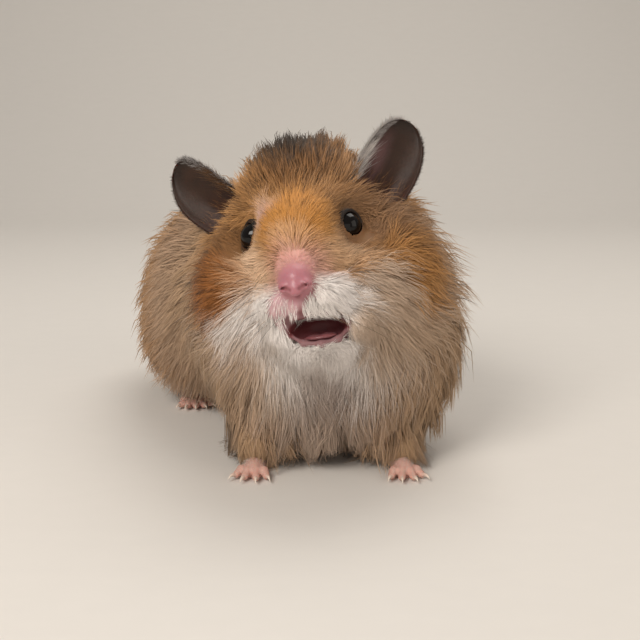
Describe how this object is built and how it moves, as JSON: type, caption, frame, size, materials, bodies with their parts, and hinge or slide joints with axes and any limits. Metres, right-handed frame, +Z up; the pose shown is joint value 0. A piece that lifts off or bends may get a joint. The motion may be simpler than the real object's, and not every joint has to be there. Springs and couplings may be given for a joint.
{
  "type": "hamster",
  "caption": "Long-haired golden and cream hamster standing with its head raised and its mouth a little open, as a still life-size model.",
  "frame": {"origin": "on the floor, below the middle of the animal's bounding box", "axes": "+Z up, -Y toward the animal's front, +X to the animal's left"},
  "size_m": [0.089, 0.1424, 0.0824],
  "materials": {
    "golden_coat": "long soft fur, golden orange and brown",
    "cream_coat": "long soft fur, cream to white",
    "ear_skin": "thin dark skin with very short hair",
    "nose_skin": "moist pink skin",
    "paw_skin": "bare pink skin",
    "mouth_skin": "moist dark pink skin",
    "eye_gloss": "wet black",
    "claw_horn": "pale horn"
  },
  "bodies": {
    "root": {"head": "golden_coat", "nose": "nose_skin", "tongue": "mouth_skin", "ear_left": "ear_skin", "eye_left": "eye_gloss", "ear_right": "ear_skin", "eye_right": "eye_gloss", "tail": "cream_coat", "foreleg_left": "cream_coat", "forefoot_left": "paw_skin", "foreclaw_left_1": "claw_horn", "foreclaw_left_2": "claw_horn", "foreclaw_left_3": "claw_horn", "foreclaw_left_4": "claw_horn", "foreleg_right": "cream_coat", "forefoot_right": "paw_skin", "foreclaw_right_1": "claw_horn", "foreclaw_right_2": "claw_horn", "foreclaw_right_3": "claw_horn", "foreclaw_right_4": "claw_horn", "hindleg_left": "cream_coat", "hindfoot_left": "paw_skin", "hindclaw_left_1": "claw_horn", "hindclaw_left_2": "claw_horn", "hindclaw_left_3": "claw_horn", "hindclaw_left_4": "claw_horn", "hindclaw_left_5": "claw_horn", "hindleg_right": "cream_coat", "hindfoot_right": "paw_skin", "hindclaw_right_1": "claw_horn", "hindclaw_right_2": "claw_horn", "hindclaw_right_3": "claw_horn", "hindclaw_right_4": "claw_horn", "hindclaw_right_5": "claw_horn", "neck": "cream_coat", "trunk": "golden_coat"}
  },
  "joints": []
}
